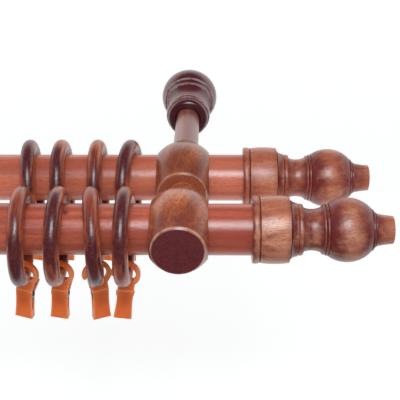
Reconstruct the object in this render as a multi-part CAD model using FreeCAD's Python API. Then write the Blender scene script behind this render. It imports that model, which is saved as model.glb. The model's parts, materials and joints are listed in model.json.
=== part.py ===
import FreeCAD, Part
import math
import os

# Double curtain pole: two wooden poles stacked on one bracket, with finials, rings and clips.
# Millimetres. The origin is the centre of the wall cup's wall face, +X runs along the poles
# towards the finials, +Y points into the wall and +Z is up.

# Poles
pole_radius = 14.0
pole_spacing = 60.5
rear_reach = 142.5
pole_left_length = 180.0
pole_edge_break = 1.0

# Bracket barrels, both turned to the same bulged outline and sawn flat on two sides to seat the poles
barrel_half_width = 15.5
pole_seat_fit = 0.05
barrel_front_length = 22.7
barrel_face_radius = 13.5
barrel_rim_chamfer = 0.9
barrel_shoulder_start = 18.0
barrel_shoulder_radius = 16.4
barrel_neck_rise = 0.6
barrel_neck_length = 1.4
barrel_bore_depth = 24.0

# Stem rod, dowels and wall screw
stem_radius = 8.2
tenon_radius = 7.3
dowel_fit = 0.08
dowel_end_gap = 1.0
cross_dowel_radius = 6.0
cross_dowel_depth = 20.0
barrel_dowel_depth = 11.5
wall_screw_radius = 3.0
wall_screw_inner_radius = 2.5
wall_screw_tip_radius = 0.5
wall_screw_outside = 40.0
wall_screw_inside = 30.0
wall_screw_point = 6.0
wall_recess_radius = 6.0
wall_recess_depth = 1.5

# Wall cup, lengths measured from the wall
cup_length = 53.4
cup_bulge_radius = 20.5
cup_bulge_centre = 10.0
cup_bulge_length = 19.0
cup_first_edge = 0.8
cup_band_length = 4.8
cup_band_hollow = 0.25
cup_second_edge = 0.6
cup_second_edge_radius = 16.3
cup_cove_end_radius = 13.6
cup_cove_hollow = 1.9
cup_bead_length = 6.4
cup_bead_radius = 15.6
cup_nose_radius = 14.2
cup_nose_length = 5.9
cup_nose_round = 3.2
cup_mouth_gap = 0.9
cup_mouth_depth = 10.0
cup_web = 12.0

# Finials, lengths measured from the socket's open edge
front_finial_start = 39.1
rear_finial_start = 36.1
socket_depth = 18.0
socket_wall = 4.4
socket_fit = 0.15
lead_bead_length = 3.5
collar_band_length = 15.6
collar_band_swell = 0.55
groove_width = 0.6
groove_depth = 0.9
step_ring_length = 3.6
step_ring_radius = 16.2
step_ring_end_radius = 14.5
neck_bead_length = 3.0
neck_bead_radius = 13.6
cove_length = 10.3
cove_start_radius = 12.3
cove_hollow = 1.25
small_bead_length = 1.7
small_bead_swell = 0.45
entry_bead_radius = 13.0
ball_radius = 17.45
ball_entry_radius = 14.2
ball_exit_radius = 12.4
exit_bead_radius = 11.0
last_bead_radius = 9.2
tip_length = 8.9
tip_start_radius = 8.9
tip_end_radius = 7.6
tip_hollow = 0.15

# Rings
ring_radius = 23.3
ring_section_radius = 4.2
ring_play = 0.3

# Clips, measured in the clip's own frame: across, back and up from the middle of its hook
hook_inner_radius = 5.7
hook_band = 2.6
hook_width = 2.4
hook_play = 0.35
hook_start_deg = -100.0
hook_end_deg = 182.0
plate_offset = 1.0
plate_drop = 9.7
plate_height = 20.0
plate_top_half = 4.7
plate_waist_half = 4.5
plate_waist_drop = 6.7
plate_bottom_half = 5.2
plate_top_out = 2.9
plate_bottom_out = 2.0
jaw_gap = 0.1
jaw_relief = 1.2
lip_height = 5.0
coil_drop = 3.5
coil_radius = 1.9
coil_wall = 0.9
coil_overhang = 0.7
coil_play = 0.2
leg_play = 0.05
leg_radius = 0.45
leg_length = 7.0
leg_spread = 3.4
tab_length = 7.5
tab_angle_deg = 30.0
tab_thickness = 1.8
tab_root_rise = 2.6

# Where each ring hangs: name, distance from the barrel, turn about the vertical, lean,
# and its clip's turn about the vertical and swing along the pole
front_rings = [("front_1", 69.5, 4.5, 3.2, -11.0, 8.3), ("front_2", 49.7, 1.7, 3.4, -5.5, 6.5),
               ("front_3", 31.5, 7.9, 0.0, 23.0, 0.5), ("front_4", 13.9, 0.0, 1.6, 2.0, 8.3)]
rear_rings = [("rear_1", 77.0, 6.5, 0.0, 0.0, 9.5), ("rear_2", 58.5, 2.3, 0.0, 5.0, 7.5),
              ("rear_3", 36.5, 1.5, 0.0, -5.0, 2.0), ("rear_4", 17.5, -5.7, 0.0, 4.0, 9.5)]

# Derived places
rear_y = -rear_reach
front_y = rear_y - pole_spacing
barrel_rear_length = pole_spacing - barrel_front_length
barrel_neck_radius = stem_radius + barrel_neck_rise
barrel_rim_radius = barrel_face_radius + barrel_rim_chamfer
barrel_radius = math.hypot(barrel_half_width, pole_radius)
collar_radius = pole_radius + socket_wall
ring_hang = pole_radius + ring_play + ring_section_radius

up = FreeCAD.Vector(0, 0, 1)
origin = FreeCAD.Vector(0, 0, 0)
parts = {}


class Turning:
    """Half outline of a turned piece, as radius against distance along its axis."""

    def __init__(self, radius, along):
        self.first = FreeCAD.Vector(0, 0, along)
        self.here = FreeCAD.Vector(radius, 0, along)
        self.edges = [Part.LineSegment(self.first, self.here).toShape()]

    def line(self, radius, along):
        there = FreeCAD.Vector(radius, 0, along)
        self.edges.append(Part.LineSegment(self.here, there).toShape())
        self.here = there

    def arc(self, radius, along, swell):
        """Round stretch that stands out by swell at its middle, or is hollow where swell is negative."""
        there = FreeCAD.Vector(radius, 0, along)
        middle = (self.here + there) * 0.5 + FreeCAD.Vector(swell, 0, 0)
        self.edges.append(Part.Arc(self.here, middle, there).toShape())
        self.here = there

    def bulge(self, radius, along, top_radius, top_along):
        """Round stretch that passes through the given top."""
        there = FreeCAD.Vector(radius, 0, along)
        top = FreeCAD.Vector(top_radius, 0, top_along)
        self.edges.append(Part.Arc(self.here, top, there).toShape())
        self.here = there

    def ball(self, sphere_radius, centre, along):
        """Stretch of a sphere about the axis, up to the given distance along it."""
        half_way = (self.here.z + along) / 2
        middle = FreeCAD.Vector(math.sqrt(sphere_radius ** 2 - (half_way - centre) ** 2), 0, half_way)
        there = FreeCAD.Vector(math.sqrt(sphere_radius ** 2 - (along - centre) ** 2), 0, along)
        self.edges.append(Part.Arc(self.here, middle, there).toShape())
        self.here = there

    def solid(self):
        last = FreeCAD.Vector(0, 0, self.here.z)
        self.edges.append(Part.LineSegment(self.here, last).toShape())
        self.edges.append(Part.LineSegment(last, self.first).toShape())
        return Part.Face(Part.Wire(self.edges)).revolve(origin, up, 360)


def placed(shape, position, turn_axis, turn_deg):
    shape.Placement = FreeCAD.Placement(position, FreeCAD.Rotation(turn_axis, turn_deg))
    return shape


def along_x(shape, x, y):
    """Lays a piece made along +Z on an axis along +X."""
    return placed(shape, FreeCAD.Vector(x, y, 0), FreeCAD.Vector(0, 1, 0), 90)


def along_y(shape, y):
    """Lays a piece made along +Z on the bracket's axis, pointing at the wall."""
    return placed(shape, FreeCAD.Vector(0, y, 0), FreeCAD.Vector(1, 0, 0), -90)


def away_from_wall(shape):
    """Lays a piece made along +Z on the bracket's axis, standing out from the wall."""
    return placed(shape, origin, FreeCAD.Vector(1, 0, 0), 90)


def rod_between(radius, start, end):
    direction = end - start
    return Part.makeCylinder(radius, direction.Length, start, direction)


def prism(points, direction):
    """Solid swept straight along a direction from a flat outline."""
    return Part.Face(Part.makePolygon(points + points[:1])).extrude(direction)


# Wall cup, stem and screw

def make_wall_cup():
    base_radius = math.sqrt(cup_bulge_radius ** 2 - cup_bulge_centre ** 2)
    bead_end = cup_length - cup_nose_length
    bead_start = bead_end - cup_bead_length
    cup = Turning(base_radius, 0)
    cup.ball(cup_bulge_radius, cup_bulge_centre, cup_bulge_length)
    cup.line(cup.here.x - cup_first_edge, cup_bulge_length)
    band_end = cup_bulge_length + cup_band_length
    cup.arc(cup_second_edge_radius, band_end, -cup_band_hollow)
    cup.line(cup_second_edge_radius - cup_second_edge, band_end)
    cup.arc(cup_cove_end_radius, bead_start, -cup_cove_hollow)
    bead_side = cup_bead_radius - cup_second_edge
    cup.line(bead_side, bead_start)
    cup.arc(bead_side, bead_end, cup_second_edge)
    cup.line(cup_nose_radius, bead_end)
    cup.line(cup_nose_radius, cup_length - cup_nose_round)
    nose_bend = cup_nose_round * (1 - math.sqrt(0.5))
    cup.bulge(cup_nose_radius - cup_nose_round, cup_length,
              cup_nose_radius - nose_bend, cup_length - nose_bend)
    cup.line(stem_radius + cup_mouth_gap, cup_length)
    blank = away_from_wall(cup.solid())
    stem_seat = away_from_wall(Part.makeCylinder(stem_radius + dowel_fit, cup_length, up * cup_web))
    mouth = away_from_wall(Part.makeCylinder(stem_radius + cup_mouth_gap, cup_length,
                                             up * (cup_length - cup_mouth_depth)))
    screw_hole = away_from_wall(Part.makeCylinder(wall_screw_inner_radius + dowel_fit, cup_length))
    recess = away_from_wall(Part.makeCylinder(wall_recess_radius, wall_recess_depth))
    return blank.cut(stem_seat).cut(mouth).cut(screw_hole).cut(recess)


def make_stem_rod():
    """Rod with a shouldered tenon that goes into the rear barrel."""
    barrel_end = rear_y + barrel_rear_length
    tenon_end = barrel_end - barrel_bore_depth + dowel_end_gap
    wall_end = -cup_web - dowel_fit
    stem = Turning(tenon_radius, tenon_end)
    stem.line(tenon_radius, barrel_end + dowel_fit)
    stem.line(stem_radius, barrel_end + dowel_fit)
    stem.line(stem_radius, wall_end)
    rod = along_y(stem.solid(), 0)
    pilot_end = wall_end - wall_screw_inside - dowel_end_gap
    pilot = rod_between(wall_screw_inner_radius + dowel_fit, FreeCAD.Vector(0, pilot_end, 0), origin)
    return rod.cut(pilot)


def make_wall_screw():
    """Double-ended screw, thinner in the stem than in the wall."""
    start = -cup_web - wall_screw_inside
    screw = Turning(wall_screw_tip_radius, start)
    screw.line(wall_screw_inner_radius, start + wall_screw_point)
    screw.line(wall_screw_inner_radius, 0)
    screw.line(wall_screw_radius, 0)
    screw.line(wall_screw_radius, wall_screw_outside - wall_screw_point)
    screw.line(wall_screw_tip_radius, wall_screw_outside)
    return along_y(screw.solid(), 0)


# Barrels and the dowels inside them

def make_barrel(pole_y, bored_in_front):
    """Turned barrel whose flats are just as high as the pole ends that they seat."""
    neck_start = barrel_rear_length - barrel_neck_length
    front_face = -barrel_front_length
    barrel = Turning(barrel_face_radius, front_face)
    barrel.line(barrel_rim_radius, front_face + barrel_rim_chamfer)
    barrel.bulge(barrel_shoulder_radius, barrel_shoulder_start, barrel_radius, 0)
    barrel.line(barrel_neck_radius, neck_start)
    barrel.line(barrel_neck_radius, barrel_rear_length)
    blank = along_y(barrel.solid(), pole_y)
    front_end = pole_y - barrel_front_length
    rear_end = pole_y + barrel_rear_length
    sawn = Part.makeBox(2 * barrel_half_width, rear_end - front_end, 4 * barrel_radius,
                        FreeCAD.Vector(-barrel_half_width, front_end, -2 * barrel_radius))
    bore_radius = tenon_radius + dowel_fit
    rear_bore = rod_between(bore_radius, FreeCAD.Vector(0, rear_end - barrel_bore_depth, 0),
                            FreeCAD.Vector(0, rear_end, 0))
    cross_bore = rod_between(cross_dowel_radius + dowel_fit, FreeCAD.Vector(-barrel_radius, pole_y, 0),
                             FreeCAD.Vector(barrel_radius, pole_y, 0))
    blank = blank.common(sawn).cut(rear_bore).cut(cross_bore)
    if bored_in_front:
        front_bore = rod_between(bore_radius, FreeCAD.Vector(0, front_end, 0),
                                 FreeCAD.Vector(0, front_end + barrel_dowel_depth + dowel_end_gap, 0))
        blank = blank.cut(front_bore)
    return blank


def make_barrel_dowel():
    joint_y = rear_y - barrel_front_length
    front_end = joint_y - barrel_bore_depth + dowel_end_gap
    return rod_between(tenon_radius, FreeCAD.Vector(0, front_end, 0),
                       FreeCAD.Vector(0, joint_y + barrel_dowel_depth, 0))


def make_cross_dowel(pole_y):
    reach = barrel_half_width + cross_dowel_depth
    return rod_between(cross_dowel_radius, FreeCAD.Vector(-reach, pole_y, 0),
                       FreeCAD.Vector(reach, pole_y, 0))


# Poles and finials

def make_pole(pole_y, outer):
    """Pole length from the barrel's flat out to outer, bored for the cross dowel."""
    outward = math.copysign(1, outer)
    seat = barrel_half_width + pole_seat_fit
    length = abs(outer) - seat
    pole = Turning(pole_radius, 0)
    pole.line(pole_radius, length - pole_edge_break)
    pole.line(pole_radius - pole_edge_break, length)
    blank = placed(pole.solid(), FreeCAD.Vector(outward * seat, pole_y, 0), FreeCAD.Vector(0, 1, 0),
                   90 * outward)
    bore_end = outward * (barrel_half_width + cross_dowel_depth + dowel_end_gap)
    bore = rod_between(cross_dowel_radius + dowel_fit, FreeCAD.Vector(0, pole_y, 0),
                       FreeCAD.Vector(bore_end, pole_y, 0))
    return blank.cut(bore)


def make_finial(pole_y, start):
    bead_radius = collar_radius - small_bead_swell
    groove_radius = bead_radius - groove_depth
    finial = Turning(bead_radius, 0)
    along = lead_bead_length
    finial.arc(bead_radius, along, small_bead_swell)
    finial.line(groove_radius, along + groove_width / 2)
    along = along + groove_width
    finial.line(bead_radius, along)
    along = along + collar_band_length
    finial.arc(bead_radius, along, collar_band_swell)
    finial.line(step_ring_radius - groove_depth, along + groove_width / 2)
    along = along + groove_width
    finial.line(step_ring_radius, along)
    along = along + step_ring_length
    finial.arc(step_ring_end_radius, along, -small_bead_swell)
    finial.line(neck_bead_radius, along)
    along = along + neck_bead_length
    finial.arc(neck_bead_radius, along, small_bead_swell)
    finial.line(cove_start_radius, along)
    along = along + cove_length
    finial.arc(entry_bead_radius - small_bead_swell, along, -cove_hollow)
    for radius in (entry_bead_radius, (entry_bead_radius + ball_entry_radius) / 2):
        finial.line(radius, along)
        along = along + small_bead_length
        finial.arc(radius, along, small_bead_swell)
    finial.line(ball_entry_radius, along)
    ball_centre = along + math.sqrt(ball_radius ** 2 - ball_entry_radius ** 2)
    along = ball_centre + math.sqrt(ball_radius ** 2 - ball_exit_radius ** 2)
    finial.ball(ball_radius, ball_centre, along)
    for radius in (exit_bead_radius, last_bead_radius):
        finial.line(radius, along)
        along = along + small_bead_length
        finial.arc(radius, along, small_bead_swell)
    finial.line(tip_start_radius, along)
    along = along + tip_length
    finial.arc(tip_end_radius, along, -tip_hollow)
    blank = along_x(finial.solid(), start, pole_y)
    socket = rod_between(pole_radius + socket_fit, FreeCAD.Vector(start, pole_y, 0),
                         FreeCAD.Vector(start + socket_depth, pole_y, 0))
    return blank.cut(socket)


# Rings and clips

def hang(shape, ring_x, pole_y, turn_deg, lean_deg):
    """Hangs a piece made about the top of its ring, leaning along the pole and turned about the vertical."""
    lean = FreeCAD.Rotation(FreeCAD.Vector(0, 1, 0), lean_deg)
    turn = FreeCAD.Rotation(up, turn_deg)
    top = FreeCAD.Vector(ring_x, pole_y, ring_hang)
    shape.Placement = FreeCAD.Placement(top, lean.multiply(turn)).multiply(shape.Placement)
    return shape


def make_ring(ring_x, pole_y, turn_deg, lean_deg):
    ring = Part.makeTorus(ring_radius, ring_section_radius, FreeCAD.Vector(0, 0, -ring_radius),
                          FreeCAD.Vector(1, 0, 0))
    return hang(ring, ring_x, pole_y, turn_deg, lean_deg)


def hook_place(ring_x, pole_y, lean_deg, clip_turn_deg, clip_swing_deg):
    """Placement of a clip's own frame, with its hook hung on the bottom of a leaning ring."""
    lean = math.radians(lean_deg)
    drop = 2 * ring_radius
    hook_sag = hook_inner_radius - ring_section_radius - hook_play
    bottom = FreeCAD.Vector(ring_x - drop * math.sin(lean), pole_y,
                            ring_hang - drop * math.cos(lean) - hook_sag)
    turn = FreeCAD.Rotation(up, clip_turn_deg)
    swing = FreeCAD.Rotation(FreeCAD.Vector(0, 1, 0), clip_swing_deg)
    return FreeCAD.Placement(bottom, turn.multiply(swing))


plate_bottom = -plate_drop - plate_height
coil_up = -plate_drop - coil_drop
plate_reach = plate_top_out + tab_length + tab_thickness


def plate_outline():
    """Front outline of a jaw, waisted, as a solid that reaches through the clip from front to back."""
    corners = [FreeCAD.Vector(plate_offset - plate_top_half, -plate_reach, 0),
               FreeCAD.Vector(plate_offset + plate_top_half, -plate_reach, 0),
               FreeCAD.Vector(plate_offset + plate_top_half, -plate_reach, -plate_drop),
               FreeCAD.Vector(plate_offset + plate_bottom_half, -plate_reach, plate_bottom),
               FreeCAD.Vector(plate_offset - plate_bottom_half, -plate_reach, plate_bottom),
               FreeCAD.Vector(plate_offset - plate_top_half, -plate_reach, -plate_drop)]
    waist_up = -plate_drop - plate_waist_drop
    right_waist = FreeCAD.Vector(plate_offset + plate_waist_half, -plate_reach, waist_up)
    left_waist = FreeCAD.Vector(plate_offset - plate_waist_half, -plate_reach, waist_up)
    edges = [Part.LineSegment(corners[0], corners[1]).toShape(),
             Part.LineSegment(corners[1], corners[2]).toShape(),
             Part.Arc(corners[2], right_waist, corners[3]).toShape(),
             Part.LineSegment(corners[3], corners[4]).toShape(),
             Part.Arc(corners[4], left_waist, corners[5]).toShape(),
             Part.LineSegment(corners[5], corners[0]).toShape()]
    return Part.Face(Part.Wire(edges)).extrude(FreeCAD.Vector(0, 2 * plate_reach, 0))


def jaw_sides(points):
    """Side outline of a jaw, given as back and up, swept across the clip."""
    across = 4 * plate_bottom_half
    left = plate_offset - across / 2
    return prism([FreeCAD.Vector(left, back, rise) for back, rise in points], FreeCAD.Vector(across, 0, 0))


def coil_groove():
    reach = plate_bottom_half + coil_overhang
    return rod_between(coil_radius + coil_play, FreeCAD.Vector(plate_offset - reach, 0, coil_up),
                       FreeCAD.Vector(plate_offset + reach, 0, coil_up))


def make_hook():
    """Open hook of flat section with a round free end."""
    outer = hook_inner_radius + hook_band
    start = math.radians(hook_start_deg)
    end = math.radians(hook_end_deg)
    middle = (start + end) / 2
    front = -hook_width / 2

    def at(radius, angle):
        return FreeCAD.Vector(radius * math.cos(angle), front, radius * math.sin(angle))

    centre_radius = hook_inner_radius + hook_band / 2
    round_end = at(centre_radius, end + hook_band / 2 / centre_radius)
    edges = [Part.Arc(at(outer, start), at(outer, middle), at(outer, end)).toShape(),
             Part.Arc(at(outer, end), round_end, at(hook_inner_radius, end)).toShape(),
             Part.Arc(at(hook_inner_radius, end), at(hook_inner_radius, middle),
                      at(hook_inner_radius, start)).toShape(),
             Part.LineSegment(at(hook_inner_radius, start), at(outer, start)).toShape()]
    return Part.Face(Part.Wire(edges)).extrude(FreeCAD.Vector(0, hook_width, 0))


def make_hook_jaw():
    """Front plate of a clip in one piece with its neck and hook."""
    half_hook = hook_width / 2
    lip_top = plate_bottom + lip_height
    neck_top = -hook_inner_radius / 2
    sides = jaw_sides([(-plate_top_out, -plate_drop), (-plate_bottom_out, plate_bottom),
                       (-jaw_gap / 2, plate_bottom), (-jaw_gap / 2, lip_top),
                       (-jaw_relief, lip_top + jaw_relief), (-jaw_relief, -plate_drop),
                       (half_hook, -plate_drop + hook_band), (half_hook, neck_top),
                       (-half_hook, neck_top), (-half_hook, -plate_drop + hook_band)])
    jaw = sides.common(plate_outline())
    ring_way = rod_between(hook_inner_radius, FreeCAD.Vector(0, -plate_reach, 0),
                           FreeCAD.Vector(0, plate_reach, 0))
    throat = prism([FreeCAD.Vector(-plate_reach, -plate_reach, -hook_inner_radius),
                    FreeCAD.Vector(0, -plate_reach, -hook_inner_radius),
                    FreeCAD.Vector(0, -plate_reach, 0), FreeCAD.Vector(-plate_reach, -plate_reach, 0)],
                   FreeCAD.Vector(0, 2 * plate_reach, 0))
    jaw = jaw.cut(ring_way).cut(throat).fuse(make_hook())
    return jaw.cut(coil_groove()).removeSplitter()


def make_back_jaw():
    """Second plate of a clip with the tab that is pressed to open it."""
    lean = math.radians(tab_angle_deg)
    lip_top = plate_bottom + lip_height
    tip_back = plate_top_out + tab_length * math.cos(lean)
    tip_up = coil_up + tab_length * math.sin(lean)
    inner_back = tip_back - tab_thickness * math.sin(lean)
    inner_up = tip_up + tab_thickness * math.cos(lean)
    sides = jaw_sides([(jaw_gap / 2, plate_bottom), (plate_bottom_out, plate_bottom),
                       (plate_top_out, coil_up), (tip_back, tip_up), (inner_back, inner_up),
                       (jaw_relief, coil_up + tab_root_rise), (jaw_relief, lip_top + jaw_relief),
                       (jaw_gap / 2, lip_top)])
    return sides.common(plate_outline()).cut(coil_groove())


def make_spring():
    """Coil between the jaws with a straight leg against each of them."""
    reach = plate_top_half + coil_overhang
    left = FreeCAD.Vector(plate_offset - reach, 0, coil_up)
    right = FreeCAD.Vector(plate_offset + reach, 0, coil_up)
    coil = rod_between(coil_radius, left, right)
    leg_back = jaw_relief - leg_radius - leg_play
    for side in (-1, 1):
        top = FreeCAD.Vector(plate_offset + side * leg_spread, side * leg_back,
                             coil_up - coil_radius + coil_wall)
        coil = coil.fuse(rod_between(leg_radius, top, top - up * leg_length))
    return coil.cut(rod_between(coil_radius - coil_wall, left, right))


def add_rings(rings, pole_y):
    for name, from_barrel, turn_deg, lean_deg, clip_turn_deg, clip_swing_deg in rings:
        ring_x = -barrel_half_width - from_barrel
        parts[name + "_ring"] = make_ring(ring_x, pole_y, turn_deg, lean_deg)
        place = hook_place(ring_x, pole_y, lean_deg, clip_turn_deg, clip_swing_deg)
        for piece, shape in clip_pieces.items():
            copy = shape.copy()
            copy.Placement = place
            parts[name + "_clip_" + piece] = copy


parts["wall_cup"] = make_wall_cup()
parts["stem_rod"] = make_stem_rod()
parts["wall_screw"] = make_wall_screw()
parts["rear_barrel"] = make_barrel(rear_y, True)
parts["front_barrel"] = make_barrel(front_y, False)
parts["barrel_dowel"] = make_barrel_dowel()
for place_name, pole_y, finial_start in (("rear", rear_y, rear_finial_start),
                                         ("front", front_y, front_finial_start)):
    parts[place_name + "_cross_dowel"] = make_cross_dowel(pole_y)
    parts[place_name + "_pole"] = make_pole(pole_y, -pole_left_length)
    stub_end = finial_start + socket_depth - dowel_end_gap / 2
    parts[place_name + "_pole_stub"] = make_pole(pole_y, stub_end)
    parts[place_name + "_finial"] = make_finial(pole_y, finial_start)

clip_pieces = {"hook_jaw": make_hook_jaw(), "back_jaw": make_back_jaw(), "spring": make_spring()}
add_rings(front_rings, front_y)
add_rings(rear_rings, rear_y)

os.makedirs("parts", exist_ok=True)
for name, shape in parts.items():
    shape.exportStep("parts/" + name + ".step")
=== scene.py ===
import bpy
import json
import math
from mathutils import Matrix, Vector

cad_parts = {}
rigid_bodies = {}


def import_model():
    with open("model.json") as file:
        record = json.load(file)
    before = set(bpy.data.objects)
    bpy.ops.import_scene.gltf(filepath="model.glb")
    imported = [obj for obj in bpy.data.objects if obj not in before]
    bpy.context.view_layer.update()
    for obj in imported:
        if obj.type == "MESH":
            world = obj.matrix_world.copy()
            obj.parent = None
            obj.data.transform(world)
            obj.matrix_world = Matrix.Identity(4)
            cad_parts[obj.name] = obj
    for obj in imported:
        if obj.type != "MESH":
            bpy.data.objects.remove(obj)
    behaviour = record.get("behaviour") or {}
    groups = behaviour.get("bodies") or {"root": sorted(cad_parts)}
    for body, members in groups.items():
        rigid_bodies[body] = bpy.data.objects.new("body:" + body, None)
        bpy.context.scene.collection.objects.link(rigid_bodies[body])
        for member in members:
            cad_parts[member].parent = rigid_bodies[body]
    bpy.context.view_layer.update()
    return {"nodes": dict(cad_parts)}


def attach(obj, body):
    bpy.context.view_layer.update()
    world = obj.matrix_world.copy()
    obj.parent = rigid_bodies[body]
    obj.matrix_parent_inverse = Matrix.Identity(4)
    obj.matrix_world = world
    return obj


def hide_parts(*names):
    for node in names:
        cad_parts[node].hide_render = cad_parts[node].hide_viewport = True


# Double curtain pole on one turned bracket, with finials, rings and clips, in stained wood.
# Metres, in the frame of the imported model: +X along the poles to the finials, +Y into the wall.

bpy.ops.object.select_all(action="SELECT")
bpy.ops.object.delete()
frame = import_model()
nodes = frame["nodes"]
bpy.ops.object.select_all(action="DESELECT")


# Poles
# Two plain dowel rods and their short ends past the bracket, in straight-grained wood.
# They are stained mahogany red and lacquered, so the fibres show through a gloss coat.

def add_node(tree, kind, inputs, **settings):
    """New shader node with its settings made, and each input linked to a socket or set to a value."""
    node = tree.nodes.new(kind)
    for name, value in settings.items():
        setattr(node, name, value)
    for name, value in inputs.items():
        if isinstance(value, bpy.types.NodeSocket):
            tree.links.new(value, node.inputs[name])
        else:
            node.inputs[name].default_value = value
    return node


def stained_wood(name, grain_turn, shift, pale, deep, end_tone, streaks, pores, end_reach, marks=(),
                 lathe="X", haze=0.23, knot=None, wander=0.12, sawn_coat=None, hoop=None, coat_ior=1.66,
                 pore_tone=None):
    """Lacquered wood whose fibres run along X once turned by grain_turn.
    The stain sinks in to end_tone where the surface cuts across the fibres, more or less by wander. Each
    mark is a place along the lathe axis, its half width, its tone and its strength, for a stained hollow or
    a rubbed edge. For a ring, hoop is its middle, and the stain is drawn out round it."""
    finish = bpy.data.materials.new(name)
    finish.use_nodes = True
    tree = finish.node_tree
    lacquer = tree.nodes["Principled BSDF"]
    coordinates = add_node(tree, "ShaderNodeTexCoord", {}).outputs
    place = coordinates["Object"]
    grain = add_node(tree, "ShaderNodeMapping",
                     {"Vector": place, "Rotation": grain_turn, "Location": shift}).outputs["Vector"]

    def drawn_out(along, across, detail):
        """Noise with so many grains to a metre along the fibres and across them."""
        stretch = add_node(tree, "ShaderNodeVectorMath", {0: grain, 1: (along, across, across)},
                           operation="MULTIPLY")
        return add_node(tree, "ShaderNodeTexNoise", {"Vector": stretch.outputs["Vector"], "Scale": 1.0,
                                                     "Detail": detail}).outputs["Fac"]

    def spread(value, low, high, to_low, to_high):
        """Value from low to high brought to a value from to_low to to_high, and held at the ends."""
        return add_node(tree, "ShaderNodeMapRange", {"Value": value, "From Min": low, "From Max": high,
                                                     "To Min": to_low, "To Max": to_high}).outputs["Result"]

    def figure(operation, *values):
        return add_node(tree, "ShaderNodeMath", dict(enumerate(values)), operation=operation).outputs["Value"]

    def stain(amount, under, over):
        tones = [tone + (1.0,) if isinstance(tone, tuple) else tone for tone in (under, over)]
        return add_node(tree, "ShaderNodeMix", {"Factor": amount, "A": tones[0], "B": tones[1]},
                        data_type="RGBA").outputs["Result"]

    def relief(height, strength, distance, **under):
        return add_node(tree, "ShaderNodeBump", {"Height": height, "Strength": strength, "Distance": distance,
                                                 **under}).outputs["Normal"]

    # Long streaks, fine fibres and open pores of the side grain.
    broad = drawn_out(along=7.0, across=150.0, detail=3.0)
    fibres = drawn_out(along=60.0, across=1300.0, detail=3.0)
    flecks = drawn_out(along=420.0, across=2200.0, detail=1.0)
    fine_streaks = 0.55 * streaks
    tone = stain(spread(broad, 0.38, 0.64, 0.0, streaks), pale, deep)
    tone = stain(spread(fibres, 0.42, 0.7, 0.0, fine_streaks), tone, deep)
    tone = stain(spread(flecks, 0.52, 0.68, 0.0, pores), tone, pore_tone or end_tone)

    # Speckled end grain, with a ragged edge.
    facing = add_node(tree, "ShaderNodeMapping", {"Vector": coordinates["Normal"], "Rotation": grain_turn},
                      vector_type="VECTOR")
    split = add_node(tree, "ShaderNodeSeparateXYZ", {"Vector": facing.outputs["Vector"]})
    cut = figure("ABSOLUTE", split.outputs["X"])
    if hoop:
        from_middle = add_node(tree, "ShaderNodeVectorMath", {0: place, 1: hoop}, operation="SUBTRACT")
        spoke = add_node(tree, "ShaderNodeSeparateXYZ", {"Vector": from_middle.outputs["Vector"]}).outputs
        round_hoop = add_node(tree, "ShaderNodeCombineXYZ",
                              {"X": spread(spoke["X"], 0.0, 0.01, 0.0, 5.0),
                               "Y": figure("ARCTAN2", spoke["Y"], spoke["Z"])})
        wash = add_node(tree, "ShaderNodeTexNoise", {"Vector": round_hoop.outputs["Vector"], "Scale": 1.5,
                                                     "Detail": 4.0}).outputs["Fac"]
    else:
        wash = drawn_out(along=90.0, across=260.0, detail=3.0)
    ragged = figure("ADD", cut, spread(wash, 0.3, 0.7, -wander, wander))
    across_fibres = spread(ragged, end_reach[0], end_reach[1], 0.0, 1.0)
    speckle = spread(drawn_out(along=700.0, across=900.0, detail=2.0), 0.4, 0.68, 0.0, 0.55)
    tone = stain(across_fibres, tone, stain(speckle, end_tone, deep))

    # A knot in the pole, and the patchy marks that turning and rubbing leave.
    if knot:
        knot_heart, knot_edge, knot_strength = 0.0004, 0.0024, 0.9
        from_knot = add_node(tree, "ShaderNodeVectorMath", {0: place, 1: knot}, operation="DISTANCE")
        near_knot = spread(from_knot.outputs["Value"], knot_heart, knot_edge, knot_strength, 0.0)
        tone = stain(near_knot, tone, end_tone)
    if marks:
        along_lathe = add_node(tree, "ShaderNodeSeparateXYZ", {"Vector": place}).outputs[lathe]
        patches = spread(drawn_out(along=300.0, across=300.0, detail=4.0), 0.36, 0.58, 0.45, 1.0)
        for along, half_width, mark_tone, strength in marks:
            off = figure("ABSOLUTE", figure("SUBTRACT", along_lathe, along))
            near = figure("MULTIPLY", spread(off, 0.0, half_width, strength, 0.0), patches)
            tone = stain(near, tone, mark_tone)
    tree.links.new(tone, lacquer.inputs["Base Color"])

    # Gloss coat with a slight orange peel, sunk into the pores and thin on a sawn face.
    coat = 0.85
    lacquer.inputs["Specular IOR Level"].default_value = 0.0
    lacquer.inputs["Coat Weight"].default_value = coat
    if sawn_coat:
        tree.links.new(spread(cut, 0.9, 0.98, coat, sawn_coat), lacquer.inputs["Coat Weight"])
    lacquer.inputs["Coat Roughness"].default_value = haze
    lacquer.inputs["Coat IOR"].default_value = coat_ior
    tree.links.new(spread(fibres, 0.3, 0.7, 0.4, 0.55), lacquer.inputs["Roughness"])
    raised = relief(fibres, strength=0.35, distance=0.00012)
    orange_peel = relief(drawn_out(along=900.0, across=650.0, detail=2.0), strength=0.5, distance=0.00012)
    sunk = relief(flecks, strength=0.5, distance=0.00011, Normal=orange_peel)
    tree.links.new(raised, lacquer.inputs["Normal"])
    tree.links.new(sunk, lacquer.inputs["Coat Normal"])
    return finish


def dress(node, finish):
    nodes[node].data.materials.clear()
    nodes[node].data.materials.append(finish)


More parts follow.
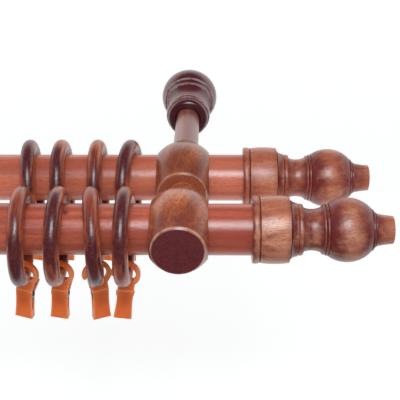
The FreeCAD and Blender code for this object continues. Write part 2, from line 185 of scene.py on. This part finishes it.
pole_end = (0.12, 0.022, 0.018)
front_pole_wood = stained_wood("front_pole_wood", (0, 0, 0), (0, 0, 0), (0.57, 0.13, 0.07),
                               (0.28, 0.04, 0.022), pole_end, streaks=0.8, pores=0.35, end_reach=(0.5, 1.0),
                               haze=0.28, knot=(-0.06, -0.2078, 0.0132))
# The rear pole's wood is a lighter copy of the front pole's: painted light for the bounce light that reaches
# it off the front pole and the paper.
rear_pole_wood_painted_lighter = stained_wood("rear_pole_wood_painted_lighter", (0, 0, 0), (0.4, 0.3, 0.1), (0.58, 0.165, 0.09),
                              (0.38, 0.07, 0.036), pole_end, streaks=0.8, pores=0.3, end_reach=(0.5, 1.0),
                              haze=0.28)
for node in ("front_pole", "front_pole_stub"):
    dress(node, front_pole_wood)
for node in ("rear_pole", "rear_pole_stub"):
    dress(node, rear_pole_wood_painted_lighter)


# Barrels and stem
# The bracket is turned from short-grained blanks with the fibres along its axis, a little askew in the
# barrels. The sawn front face drinks the stain, and the arris round the front of each barrel has been rubbed
# back to pale wood.

grain_along_y = (0, 0, -math.pi / 2)
skew_grain = (0, 0, math.radians(-76))
turned_pore = (0.13, 0.025, 0.013)
sawn_face = (0.07, 0.01, 0.019)
# The rear barrel's sawn face is painted lighter than the front one, as painted light that lifts it out of the
# shade behind the front barrel.
rear_sawn_face_painted_lighter = (0.34, 0.09, 0.042)
rubbed = (0.66, 0.37, 0.26)
sunk_stain = (0.13, 0.028, 0.03)
front_face = -0.2257
rear_face = -0.1652
arris_middle = 0.0009
front_marks = [(front_face + 0.004, 0.013, sunk_stain, 0.75),
               (front_face + arris_middle, 0.0008, rubbed, 0.75)]
rear_marks = [(rear_face + 0.004, 0.009, sunk_stain, 0.35),
              (rear_face + arris_middle, 0.00085, rubbed, 0.5)]
front_barrel_wood = stained_wood("front_barrel_wood", skew_grain, (0.2, 0.7, 0.3), (0.57, 0.155, 0.055),
                                 (0.18, 0.034, 0.016), sawn_face, streaks=0.7, pores=0.85,
                                 end_reach=(0.6, 0.9), marks=front_marks, lathe="Y", sawn_coat=0.3,
                                 pore_tone=turned_pore)
rear_barrel_wood = stained_wood("rear_barrel_wood", skew_grain, (0.8, 0.2, 0.6), (0.36, 0.095, 0.035),
                                (0.14, 0.027, 0.014), rear_sawn_face_painted_lighter, streaks=0.7, pores=0.85,
                                end_reach=(0.6, 0.9), marks=rear_marks, lathe="Y", sawn_coat=0.5,
                                pore_tone=turned_pore)
stem_wood = stained_wood("stem_wood", grain_along_y, (0.9, 0.1, 0.5), (0.33, 0.09, 0.055),
                         (0.16, 0.04, 0.03), sawn_face, streaks=0.8, pores=0.3, end_reach=(0.5, 0.8),
                         haze=0.28, coat_ior=1.95)
dress("front_barrel", front_barrel_wood)
dress("rear_barrel", rear_barrel_wood)
dress("stem_rod", stem_wood)


# Wall cup
# A dark turned cup that covers the screw in the wall, with two fine edges, a cove and a beaded mouth.
# The fine edges are drawn lighter than the cup, and show as light lines.

cup_edge = (0.62, 0.42, 0.4)
cup_bead = (0.27, 0.07, 0.068)
edge_half_width = 0.0005
cup_marks = [(-0.0443, 0.0036, cup_bead, 0.8), (-0.0189, edge_half_width, cup_edge, 0.75),
             (-0.0237, edge_half_width, cup_edge, 0.6), (-0.0473, edge_half_width, cup_edge, 0.7)]
cup_wood = stained_wood("cup_wood", grain_along_y, (0.5, 0.2, 0.8), (0.13, 0.022, 0.026),
                        (0.07, 0.011, 0.017), (0.05, 0.008, 0.013), streaks=0.9, pores=0.4,
                        end_reach=(0.3, 0.9), marks=cup_marks, lathe="Y", haze=0.2, coat_ior=1.75)
dress("wall_cup", cup_wood)


# Hidden dowels
# Plain beech pegs cut from dowel rod and glued into the bores inside the bracket.
# They have the wood's own pale colour, without any stain.

raw_wood = stained_wood("raw_wood", (0, 0, 0), (0, 0, 0), (0.6, 0.42, 0.26), (0.46, 0.3, 0.17),
                        (0.3, 0.19, 0.11), streaks=0.8, pores=0.4, end_reach=(0.5, 1.0))
for node in ("barrel_dowel", "front_cross_dowel", "rear_cross_dowel"):
    dress(node, raw_wood)


# Finials
# Turned end pieces pushed over the pole ends, in a paler wood than the poles.
# Dark stain sits in every hollow and wherever the turning cuts across the fibres.

finial_grain = (0, 0, math.radians(-7))
finial_pale = (0.57, 0.255, 0.155)
finial_deep = (0.38, 0.09, 0.04)
finial_end = (0.13, 0.012, 0.012)
finial_hollows = ((0.0016, 0.0022, 0.3), (0.0222, 0.005, 1.0), (0.0268, 0.0026, 1.0), (0.0305, 0.0045, 1.0),
                  (0.037, 0.001, 0.4), (0.0389, 0.0008, 0.5), (0.0415, 0.012, 1.0), (0.0626, 0.0125, 1.0),
                  (0.0646, 0.006, 1.0))
rear_tip_stain = (0.071, 0.0075, 0.6)
for side, start, shift, tint, sunk, hollows in (
        ("front", 0.0391, (0.1, 0.3, 0.2), (1.0, 1.0, 1.0), 1.0, finial_hollows),
        ("rear", 0.0361, (0.6, 0.1, 0.7), (0.95, 0.84, 0.8), 0.75, finial_hollows + (rear_tip_stain,))):
    marks = [(start + along, half_width, finial_end, strength * sunk)
             for along, half_width, strength in hollows]
    pale = tuple(part * share for part, share in zip(finial_pale, tint))
    deep = tuple(part * share for part, share in zip(finial_deep, tint))
    finial_wood = stained_wood(side + "_finial_wood", finial_grain, shift, pale, deep, finial_end, streaks=0.8,
                               pores=0.5, end_reach=(0.14, 0.58), marks=marks, haze=0.32, wander=0.22)
    dress(side + "_finial", finial_wood)


# Rings
# Rings turned from flat board, so each one shows long grain and dark end grain by turns round its rim.
# Each ring's entry is the turn of its fibres about the pole, in degrees, and its place along and across.

front_line = -0.203
rear_line = -0.1425
ring_middle_height = -0.0048
ring_pale = (0.55, 0.13, 0.044)
ring_deep = (0.22, 0.036, 0.018)
ring_end = (0.052, 0.006, 0.013)
ring_grain = {"front_1": (175, -0.085, front_line), "front_2": (42, -0.0652, front_line),
              "front_3": (170, -0.047, front_line), "front_4": (45, -0.0294, front_line),
              "rear_1": (65, -0.0925, rear_line), "rear_2": (20, -0.074, rear_line),
              "rear_3": (0, -0.052, rear_line), "rear_4": (60, -0.033, rear_line)}
for ring, (turn, ring_x, line) in ring_grain.items():
    ring_wood = stained_wood(ring + "_ring_wood", (math.radians(turn), 0, -math.pi / 2),
                             (turn * 0.01, 0.2, 0.4), ring_pale, ring_deep, ring_end, streaks=0.9, pores=0.4,
                             end_reach=(0.26, 0.74), haze=0.3, wander=0.34,
                             hoop=(ring_x, line, ring_middle_height), coat_ior=1.72)
    dress(ring + "_ring", ring_wood)


# Clips
# Sprung clips moulded in orange plastic that lets some light through: a front plate with the hook, a back
# plate with the tab, and a steel spring wound between them. One clip is shaped and hung on all eight rings.
# Each hang is the ring's lean, and the clip's turn about the vertical and swing along the pole, in degrees.

ring_hang = 0.0185
ring_drop = 0.0466
hook_sag = 0.00115
clip_hangs = {"front_1": (3.2, -11.0, 8.3), "front_2": (3.4, -5.5, 6.5), "front_3": (0.0, 23.0, 0.5),
              "front_4": (1.6, 2.0, 8.3), "rear_1": (0.0, 0.0, 9.5), "rear_2": (0.0, 5.0, 7.5),
              "rear_3": (0.0, -5.0, 2.0), "rear_4": (0.0, 4.0, 9.5)}


def clip_frame(ring):
    """Place of a clip's own frame, whose zero is the middle of its hook."""
    ring_x, line = ring_grain[ring][1:]
    lean, turn, swing = (math.radians(angle) for angle in clip_hangs[ring])
    bottom = (ring_x - ring_drop * math.sin(lean), line, ring_hang - ring_drop * math.cos(lean) - hook_sag)
    return Matrix.Translation(bottom) @ Matrix.Rotation(turn, 4, "Z") @ Matrix.Rotation(swing, 4, "Y")


def moulded_jaw(node, name):
    """Jaw of the first clip in the clip's own frame, with the round arrises that a mould leaves."""
    bpy.ops.object.select_all(action="DESELECT")
    shape = nodes[node].data.copy()
    shape.transform(clip_frame("front_1").inverted())
    jaw = bpy.data.objects.new(name, shape)
    bpy.context.scene.collection.objects.link(jaw)
    jaw.select_set(True)
    bpy.context.view_layer.objects.active = jaw
    bpy.ops.mesh.customdata_custom_splitnormals_clear()
    bpy.ops.object.mode_set(mode="EDIT")
    bpy.ops.mesh.select_all(action="SELECT")
    bpy.ops.mesh.remove_doubles(threshold=0.00001)
    bpy.ops.mesh.dissolve_limited(angle_limit=math.radians(1.5))
    bpy.ops.object.mode_set(mode="OBJECT")
    arris = jaw.modifiers.new("arris", "BEVEL")
    arris.width = 0.00035
    arris.segments = 3
    arris.limit_method = "ANGLE"
    arris.angle_limit = math.radians(40)
    bpy.ops.object.modifier_apply(modifier="arris")
    bpy.ops.object.shade_smooth_by_angle(angle=math.radians(35))
    return jaw


def wound_spring(name):
    """Close coil of wire about X with a straight leg at each end, in the clip's own frame."""
    wire_radius = 0.00045
    coil_middle = 0.00145
    half_length = 0.0049
    turns = 11
    leg_spread = 0.0034
    leg_back = 0.0007
    leg_top = -0.001
    leg_length = 0.007
    hinge_place = (0.001, 0, -0.0132)
    bpy.ops.object.select_all(action="DESELECT")
    bpy.ops.mesh.primitive_circle_add(vertices=10, radius=wire_radius, location=(-half_length, 0, coil_middle),
                                      rotation=(math.pi / 2, 0, 0))
    spring = bpy.context.object
    spring.name = name
    bpy.ops.object.transform_apply(location=True, rotation=True, scale=True)
    winding = spring.modifiers.new("winding", "SCREW")
    winding.axis = "X"
    winding.screw_offset = 2 * half_length / turns
    winding.iterations = turns
    winding.steps = 20
    winding.render_steps = 20
    bpy.ops.object.modifier_apply(modifier="winding")
    for side in (-1, 1):
        bpy.ops.object.select_all(action="DESELECT")
        bpy.ops.mesh.primitive_circle_add(vertices=10, radius=wire_radius, fill_type="NGON",
                                          location=(side * leg_spread, side * leg_back, leg_top))
        bpy.ops.object.mode_set(mode="EDIT")
        bpy.ops.mesh.select_all(action="SELECT")
        bpy.ops.mesh.extrude_region_move(TRANSFORM_OT_translate={"value": (0, 0, -leg_length)})
        bpy.ops.object.mode_set(mode="OBJECT")
        bpy.ops.object.transform_apply(location=True, rotation=True, scale=True)
        spring.select_set(True)
        bpy.context.view_layer.objects.active = spring
        bpy.ops.object.join()
    bpy.ops.object.mode_set(mode="EDIT")
    bpy.ops.mesh.select_all(action="SELECT")
    bpy.ops.mesh.normals_make_consistent(inside=False)
    bpy.ops.transform.translate(value=hinge_place)
    bpy.ops.object.mode_set(mode="OBJECT")
    bpy.ops.object.shade_smooth_by_angle(angle=math.radians(40))
    return spring


# The plastic is cloudy and darker in the middle of a plate, with a painted highlight along its sides and its
# fold.
plate_middle = 0.001
plate_fold = -0.0097
dark_middle = (plate_middle, 0.0, -0.0158)
clip_plastic = bpy.data.materials.new("clip_orange_plastic")
clip_plastic.use_nodes = True
plastic = clip_plastic.node_tree
moulded = plastic.nodes["Principled BSDF"]
clip_place = add_node(plastic, "ShaderNodeAttribute", {}, attribute_name="clip_place").outputs["Vector"]
cloud = add_node(plastic, "ShaderNodeTexNoise", {"Vector": clip_place, "Scale": 350.0,
                                                 "Detail": 3.0}).outputs["Fac"]
flow = add_node(plastic, "ShaderNodeMix", {"Factor": cloud, "A": (0.88, 0.18, 0.032, 1),
                                           "B": (0.75, 0.125, 0.019, 1)}, data_type="RGBA")
from_dark = add_node(plastic, "ShaderNodeVectorMath", {0: clip_place, 1: dark_middle}, operation="SUBTRACT")
squat = add_node(plastic, "ShaderNodeVectorMath", {0: from_dark.outputs["Vector"], 1: (1.0, 0.0, 0.62)},
                 operation="MULTIPLY")
off_centre = add_node(plastic, "ShaderNodeVectorMath", {0: squat.outputs["Vector"]}, operation="LENGTH")
shadow = add_node(plastic, "ShaderNodeMapRange", {"Value": off_centre.outputs["Value"], "From Min": 0.0008,
                                                  "From Max": 0.0056, "To Min": 0.5, "To Max": 0.0},
                  interpolation_type="SMOOTHSTEP")
plastic_tone = add_node(plastic, "ShaderNodeMix", {"Factor": shadow.outputs["Result"],
                                                   "A": flow.outputs["Result"],
                                                   "B": (0.42, 0.05, 0.012, 1)}, data_type="RGBA")
plate_split = add_node(plastic, "ShaderNodeSeparateXYZ", {"Vector": clip_place})
# Painted highlight: the plate is lightened towards its sides and along its fold, where light catches those
# edges.
for across, middle, near, far, strength in (("X", plate_middle, 0.0034, 0.0052, 0.45),
                                            ("Z", plate_fold, 0.0006, 0.0, 0.6)):
    away = add_node(plastic, "ShaderNodeMath", {0: plate_split.outputs[across], 1: middle},
                    operation="SUBTRACT")
    off = add_node(plastic, "ShaderNodeMath", {0: away.outputs["Value"]}, operation="ABSOLUTE")
    painted_edge_highlight = add_node(plastic, "ShaderNodeMapRange", {"Value": off.outputs["Value"], "From Min": near,
                                                   "From Max": far, "To Max": strength})
    plastic_tone = add_node(plastic, "ShaderNodeMix", {"Factor": painted_edge_highlight.outputs["Result"],
                                                       "A": plastic_tone.outputs["Result"],
                                                       "B": (1.0, 0.42, 0.17, 1)}, data_type="RGBA")
plastic.links.new(plastic_tone.outputs["Result"], moulded.inputs["Base Color"])
satin = add_node(plastic, "ShaderNodeMapRange", {"Value": cloud, "To Min": 0.32, "To Max": 0.5})
plastic.links.new(satin.outputs["Result"], moulded.inputs["Roughness"])
moulded.inputs["Subsurface Weight"].default_value = 0.3
moulded.inputs["Subsurface Radius"].default_value = (0.004, 0.0012, 0.0004)
moulded.inputs["Subsurface Scale"].default_value = 1.0
mould_grain = add_node(plastic, "ShaderNodeBump", {"Height": cloud, "Strength": 0.2, "Distance": 0.0001})
plastic.links.new(mould_grain.outputs["Normal"], moulded.inputs["Normal"])

# The springs are of zinc-plated steel wire, whose plating has a fine spangle.
zinc_steel = bpy.data.materials.new("spring_steel")
zinc_steel.use_nodes = True
steel = zinc_steel.node_tree
plated = steel.nodes["Principled BSDF"]
steel_place = add_node(steel, "ShaderNodeTexCoord", {}).outputs["Object"]
spangle = add_node(steel, "ShaderNodeTexNoise", {"Vector": steel_place, "Scale": 900.0}).outputs["Fac"]
plating = add_node(steel, "ShaderNodeMix", {"Factor": spangle, "A": (0.5, 0.49, 0.47, 1),
                                            "B": (0.32, 0.32, 0.33, 1)}, data_type="RGBA")
worn = add_node(steel, "ShaderNodeMapRange", {"Value": spangle, "To Min": 0.22, "To Max": 0.45})
steel.links.new(plating.outputs["Result"], plated.inputs["Base Color"])
steel.links.new(worn.outputs["Result"], plated.inputs["Roughness"])
plated.inputs["Metallic"].default_value = 1.0

hook_jaw = moulded_jaw("front_1_clip_hook_jaw", "hook_jaw_pattern")
back_jaw = moulded_jaw("front_1_clip_back_jaw", "back_jaw_pattern")
clip_spring = wound_spring("clip_spring_pattern")
for pattern, finish in ((hook_jaw, clip_plastic), (back_jaw, clip_plastic), (clip_spring, zinc_steel)):
    pattern.data.materials.clear()
    pattern.data.materials.append(finish)
    own_place = pattern.data.attributes.new("clip_place", "FLOAT_VECTOR", "POINT")
    own_place.data.foreach_set("vector", [part for corner in pattern.data.vertices for part in corner.co])
for ring in clip_hangs:
    for pattern, piece, body, finish in ((hook_jaw, "hook_jaw", ring, "clip_plastic"),
                                         (back_jaw, "back_jaw", ring + "_jaw", "clip_plastic"),
                                         (clip_spring, "spring", ring, "zinc_steel")):
        shape = pattern.data.copy()
        shape.transform(clip_frame(ring))
        copy = bpy.data.objects.new(ring + "_" + piece, shape)
        bpy.context.scene.collection.objects.link(copy)
        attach(copy, body)
        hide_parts(ring + "_clip_" + piece)
for pattern in (hook_jaw, back_jaw, clip_spring):
    bpy.data.objects.remove(pattern)


# Wall screw
# Double-ended wood screw in the same zinc-plated steel: a plain shank glued into the stem, and a rolled
# thread that runs out to a point in the wall. The shank is drawn out from its tip, end by end.

shank = ((-0.042, 0.0005), (-0.036, 0.0025), (0.0, 0.0025), (0.0012, 0.0023), (0.034, 0.0023), (0.04, 0.0005))
thread_root = 0.0023
thread_start = 0.0018
thread_ridge = 0.0007
thread_pitch = 0.0026
thread_turns = 12
tip_along, tip_radius = shank[0]
bpy.ops.object.select_all(action="DESELECT")
bpy.ops.mesh.primitive_circle_add(vertices=24, radius=tip_radius, fill_type="NGON", location=(0, tip_along, 0),
                                  rotation=(-math.pi / 2, 0, 0))
screw = bpy.context.object
screw.name = "threaded_wall_screw"
bpy.ops.object.transform_apply(location=True, rotation=True, scale=True)
bpy.ops.object.mode_set(mode="EDIT")
bpy.ops.mesh.select_all(action="SELECT")
for (last_along, last_radius), (along, radius) in zip(shank, shank[1:]):
    swell = radius / last_radius
    bpy.ops.mesh.extrude_region_move(TRANSFORM_OT_translate={"value": (0, along - last_along, 0)})
    bpy.ops.transform.resize(value=(swell, 1, swell), center_override=(0, along, 0))
bpy.ops.object.mode_set(mode="OBJECT")
bpy.ops.object.select_all(action="DESELECT")
bpy.ops.mesh.primitive_circle_add(vertices=3, radius=thread_ridge, location=(0, thread_start, thread_root),
                                  rotation=(math.pi / 2, 0, math.pi / 2))
thread = bpy.context.object
bpy.ops.object.transform_apply(location=True, rotation=True, scale=True)
rolling = thread.modifiers.new("rolling", "SCREW")
rolling.axis = "Y"
rolling.screw_offset = thread_pitch
rolling.iterations = thread_turns
rolling.steps = 24
rolling.render_steps = 24
bpy.ops.object.modifier_apply(modifier="rolling")
screw.select_set(True)
bpy.context.view_layer.objects.active = screw
bpy.ops.object.join()
bpy.ops.object.mode_set(mode="EDIT")
bpy.ops.mesh.select_all(action="SELECT")
bpy.ops.mesh.normals_make_consistent(inside=False)
bpy.ops.object.mode_set(mode="OBJECT")
bpy.ops.object.shade_smooth_by_angle(angle=math.radians(35))
screw.data.materials.clear()
screw.data.materials.append(zinc_steel)
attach(screw, "root")
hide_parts("wall_screw")


# Studio
# White paper far under the poles, seen as white and growing whiter away from the object's shadow. In the
# lacquer the paper is dim in front of the poles and bright under and behind them, and the backdrop glows
# low behind the wall cup, while the room round the camera is dark.

floor_level = -0.3
seen_near, seen_far = 0.55, 0.72
gloss_front, gloss_back = 0.1, 1.25
bpy.ops.mesh.primitive_plane_add(size=14.0, location=(0, 0, floor_level))
floor = bpy.context.object
floor.name = "floor"
white_paper = bpy.data.materials.new("white_paper")
white_paper.use_nodes = True
paper = white_paper.node_tree
matt = paper.nodes["Principled BSDF"]
matt.inputs["Base Color"].default_value = (0.62, 0.62, 0.62, 1)
matt.inputs["Roughness"].default_value = 0.9
matt.inputs["Emission Color"].default_value = (1, 1, 1, 1)
rays = add_node(paper, "ShaderNodeLightPath", {}).outputs
paper_place = add_node(paper, "ShaderNodeTexCoord", {}).outputs["Object"]
from_object = add_node(paper, "ShaderNodeVectorMath", {0: paper_place}, operation="LENGTH")
far_white = add_node(paper, "ShaderNodeMapRange", {"Value": from_object.outputs["Value"], "From Min": 0.5,
                                                   "From Max": 1.8, "To Min": seen_near, "To Max": seen_far})
seen = add_node(paper, "ShaderNodeMath", {0: rays["Is Camera Ray"], 1: far_white.outputs["Result"]},
                operation="MULTIPLY")
paper.links.new(seen.outputs["Value"], matt.inputs["Emission Strength"])
paper_split = add_node(paper, "ShaderNodeSeparateXYZ", {"Vector": paper_place})
depth = add_node(paper, "ShaderNodeMapRange", {"Value": paper_split.outputs["Y"], "From Min": -0.275,
                                               "From Max": -0.215, "To Min": gloss_front,
                                               "To Max": gloss_back})
in_lacquer = add_node(paper, "ShaderNodeEmission", {"Strength": depth.outputs["Result"]})
by_ray = add_node(paper, "ShaderNodeMixShader", {"Fac": rays["Is Glossy Ray"], 1: matt.outputs["BSDF"],
                                                 2: in_lacquer.outputs["Emission"]})
paper.links.new(by_ray.outputs["Shader"], paper.nodes["Material Output"].inputs["Surface"])
floor.data.materials.append(white_paper)

fill_level, white_level = 0.55, 1.0
room_gloss, glow_gloss = 0.05, 1.3
world = bpy.data.worlds.new("studio")
bpy.context.scene.world = world
world.use_nodes = True
sky = world.node_tree
backdrop = sky.nodes["Background"]
backdrop.inputs["Color"].default_value = (1, 1, 1, 1)
sky_rays = add_node(sky, "ShaderNodeLightPath", {}).outputs
sky_way = add_node(sky, "ShaderNodeTexCoord", {}).outputs["Generated"]
sky_split = add_node(sky, "ShaderNodeSeparateXYZ", {"Vector": sky_way}).outputs
behind = add_node(sky, "ShaderNodeMapRange", {"Value": sky_split["Y"], "From Min": -0.25, "From Max": 0.25})
low_down = add_node(sky, "ShaderNodeMapRange", {"Value": sky_split["Z"], "From Min": 0.42, "From Max": 0.72,
                                                "To Min": 1.0, "To Max": 0.0})
back_glow = add_node(sky, "ShaderNodeMath", {0: behind.outputs["Result"], 1: low_down.outputs["Result"]},
                     operation="MULTIPLY")
gloss = add_node(sky, "ShaderNodeMapRange", {"Value": back_glow.outputs["Value"], "To Min": room_gloss,
                                             "To Max": glow_gloss})
sky_level = fill_level
for ray, level in (("Is Glossy Ray", gloss.outputs["Result"]), ("Is Transmission Ray", white_level),
                   ("Is Camera Ray", white_level)):
    sky_level = add_node(sky, "ShaderNodeMix", {"Factor": sky_rays[ray], "A": sky_level,
                                                "B": level}).outputs["Result"]
sky.links.new(sky_level, backdrop.inputs["Strength"])


def soft_box(name, place, aim, width, height, radiance, mirrored):
    """Area lamp whose power gives the radiance over its whole face, mirrored in the lacquer or not."""
    lamp = bpy.data.lights.new(name, "AREA")
    lamp.shape = "RECTANGLE"
    lamp.size = width
    lamp.size_y = height
    lamp.energy = radiance * width * height * math.pi
    lamp.color = (0.85, 0.94, 1.0)
    box = bpy.data.objects.new(name, lamp)
    box.location = place
    box.rotation_mode = "QUATERNION"
    box.rotation_quaternion = (Vector(aim) - Vector(place)).to_track_quat("-Z", "Y")
    box.visible_camera = False
    box.visible_glossy = mirrored
    bpy.context.scene.collection.objects.link(box)


# The main box hangs in front above the camera, and its reflection is the band along the poles. Weak boxes
# fill in from behind and from the left, and a low strip gives the rear pole the light off the paper.
soft_box("front_box", place=(0.06, -0.667, 0.56), aim=(0.06, -0.17, 0.0), width=0.34, height=0.34,
         radiance=11.0, mirrored=True)
soft_box("back_box", place=(0.0, 0.9, 0.75), aim=(0.0, -0.1, 0.0), width=1.6, height=0.8,
         radiance=0.15, mirrored=False)
soft_box("side_box", place=(-0.4, -0.6, 0.55), aim=(-0.1, -0.17, 0.0), width=0.5, height=0.5,
         radiance=1.3, mirrored=False)
soft_box("low_strip", place=(0.03, -0.185, -0.045), aim=(0.03, -0.1425, 0.0), width=0.6, height=0.02,
         radiance=2.6, mirrored=False)

# The camera stands a little right of the bracket and looks down on the front pole.
eye_place = (0.018294, -0.557551, 0.215956)
pitch = math.radians(29.15)
yaw = math.radians(-1.15)
roll = math.radians(-0.46)
ahead = Vector((math.sin(yaw) * math.cos(pitch), math.cos(yaw) * math.cos(pitch), -math.sin(pitch)))
level_right = Vector((math.cos(yaw), -math.sin(yaw), 0))
level_up = level_right.cross(ahead)
right = math.cos(roll) * level_right + math.sin(roll) * level_up
upward = -math.sin(roll) * level_right + math.cos(roll) * level_up
eye = bpy.data.cameras.new("camera")
eye.sensor_width = 36.0
eye.lens = 69.19
camera = bpy.data.objects.new("camera", eye)
camera.matrix_world = Matrix.Translation(eye_place) @ Matrix((right, upward, -ahead)).transposed().to_4x4()
bpy.context.scene.collection.objects.link(camera)
bpy.context.scene.camera = camera
bpy.context.scene.view_settings.view_transform = "Standard"
